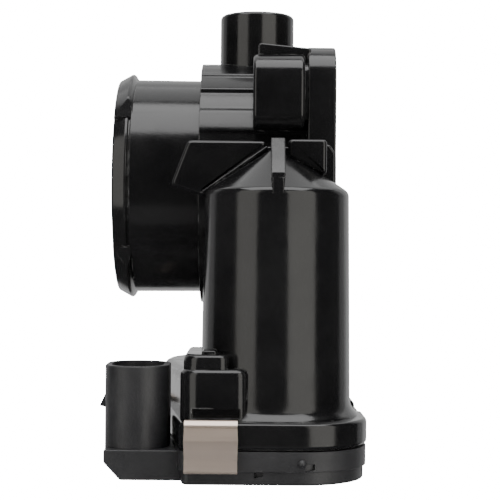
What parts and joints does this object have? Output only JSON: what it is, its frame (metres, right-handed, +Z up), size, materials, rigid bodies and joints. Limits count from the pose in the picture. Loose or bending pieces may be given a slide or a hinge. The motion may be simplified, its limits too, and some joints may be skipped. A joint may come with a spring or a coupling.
{
  "type": "throttle body",
  "caption": "Electronic throttle body: a plate on a vertical shaft, turned by a geared motor, in a casting with a hose spigot, a bolted flange and a clipped gear cover.",
  "frame": {"origin": "under the middle of the object, on the plane of the gear cover's underside", "axes": "+X along the bore from the hose spigot to the mounting flange, +Y away from the motor barrel, +Z up along the throttle shaft"},
  "size_m": [0.0696, 0.1129, 0.1285],
  "materials": {
    "black_casting": "gloss black coating on die-cast aluminium",
    "black_plastic": "satin black moulded nylon",
    "spring_steel": "satin rolled spring steel, slightly warm",
    "steel": "ground steel",
    "brass": "machined brass",
    "copper": "bare copper",
    "rubber": "moulded black rubber",
    "white_nylon": "natural moulded nylon",
    "magnet": "sintered ferrite",
    "board": "green circuit board",
    "tinned": "tin-plated brass",
    "carbon": "pressed carbon"
  },
  "bodies": {
    "casing": {"closed_stop_pin": "steel", "connector_pin_1": "tinned", "connector_pin_2": "tinned", "connector_pin_3": "tinned", "connector_pin_4": "tinned", "connector_pin_5": "tinned", "connector_pin_6": "tinned", "cover_clip_1": "spring_steel", "cover_clip_2": "spring_steel", "cover_clip_3": "spring_steel", "cover_clip_4": "spring_steel", "cover_clip_5": "spring_steel", "cover_seal": "rubber", "flange_seal": "rubber", "gear_cover": "black_plastic", "intermediate_gear_pin": "steel", "lower_motor_bush": "brass", "lower_shaft_bearing": "steel", "lower_shaft_seal": "rubber", "motor_brush_1": "carbon", "motor_brush_2": "carbon", "motor_can": "steel", "motor_end_bell": "black_plastic", "motor_magnet_1": "magnet", "motor_magnet_2": "magnet", "motor_screw_1": "steel", "motor_screw_2": "steel", "motor_terminal_1": "copper", "motor_terminal_2": "copper", "motor_wave_washer": "spring_steel", "return_spring": "spring_steel", "sensor_board": "board", "throttle_housing": "black_casting", "upper_motor_bush": "brass", "upper_shaft_bearing": "steel"},
    "throttle": {"throttle_shaft": "steel", "throttle_plate": "brass", "plate_screw_1": "steel", "plate_screw_2": "steel", "sector_gear": "white_nylon", "sensor_magnet": "magnet"},
    "intermediate": {"intermediate_gear": "white_nylon"},
    "rotor": {"motor_shaft": "steel", "motor_pinion": "brass", "armature_core": "steel", "commutator": "copper"}
  },
  "joints": [
    {"name": "throttle_turn", "type": "hinge", "parent": "casing", "child": "throttle", "pos_m": [0.0057, 0.0185, 0.06], "axis": [0, 0, 1], "range_deg": [-7, 77], "stiffness_Nm_per_rad": 0.25},
    {"name": "intermediate_turn", "type": "hinge", "parent": "casing", "child": "intermediate", "pos_m": [0.00382, -0.01144, 0.007], "axis": [0, 0, 1], "range_deg": [-310, 30]},
    {"name": "rotor_turn", "type": "hinge", "parent": "casing", "child": "rotor", "pos_m": [0.0111, -0.0305, 0.04], "axis": [0, 0, 1], "range_deg": [-95, 1005]}
  ],
  "couplings": [
    {"joint": "intermediate_turn", "follows": "throttle_turn", "ratio": -4},
    {"joint": "rotor_turn", "follows": "throttle_turn", "ratio": 13}
  ]
}
